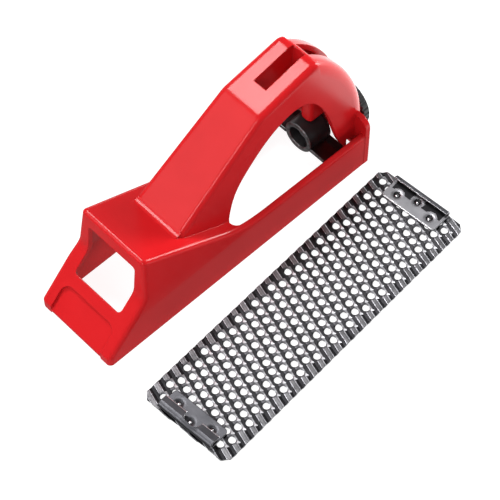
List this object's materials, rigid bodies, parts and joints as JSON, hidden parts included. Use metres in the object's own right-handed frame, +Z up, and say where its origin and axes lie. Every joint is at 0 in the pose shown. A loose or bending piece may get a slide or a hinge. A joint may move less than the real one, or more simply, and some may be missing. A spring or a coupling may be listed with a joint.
{
  "type": "wood rasp",
  "caption": "Pocket plane-style wood rasp: red moulded holder with palm handle, thumb-wheel blade tensioner and a loose perforated steel blade with hooked end clips.",
  "frame": {"origin": "centre of the holder's sole, midway between the nose's bottom edge and the rear wall, on the surface it stands on", "axes": "+X from the nose to the thumb wheel, +Z up, Y across the holder; the loose blade lies on the -Y side"},
  "size_m": [0.149, 0.0996, 0.0723],
  "materials": {
    "red_moulding": "gloss",
    "black_steel": "semi-gloss black",
    "zinc_steel": "zinc plated",
    "spring_steel": "blackened",
    "black_plastic": "satin black",
    "blade_steel": "hardened, dark",
    "clip_steel": "dull grey",
    "rivet_steel": "dull grey"
  },
  "bodies": {
    "holder": {"body_shell": "red_moulding"},
    "tensioner": {"tension_plate": "black_steel", "tube_saddle": "black_steel", "tension_tube": "black_steel", "screw_nut": "zinc_steel"},
    "thumb_wheel": {"knob": "black_plastic", "tension_screw": "zinc_steel", "retaining_ring": "spring_steel", "inner_washer": "zinc_steel", "knob_washer": "zinc_steel"},
    "blade": {"blade_sheet": "blade_steel", "rear_clip": "clip_steel", "front_clip": "clip_steel", "rear_clip_rivets": "rivet_steel", "front_clip_rivets": "rivet_steel"}
  },
  "joints": [
    {"name": "knob_turn", "type": "hinge", "parent": "holder", "child": "thumb_wheel", "pos_m": [0.0741, 0, 0.0156], "axis": [-1, 0, 0], "range_deg": [0, 1440]},
    {"name": "tension_slide", "type": "slide", "parent": "holder", "child": "tensioner", "axis": [1, 0, 0], "range_m": [0, 0.0041]},
    {"name": "blade_lift", "type": "slide", "parent": "holder", "child": "blade", "axis": [0, 0, 1], "range_m": [0, 0.1]}
  ],
  "couplings": [
    {"joint": "tension_slide", "follows": "knob_turn", "m_per_rad": 0.00015915}
  ]
}
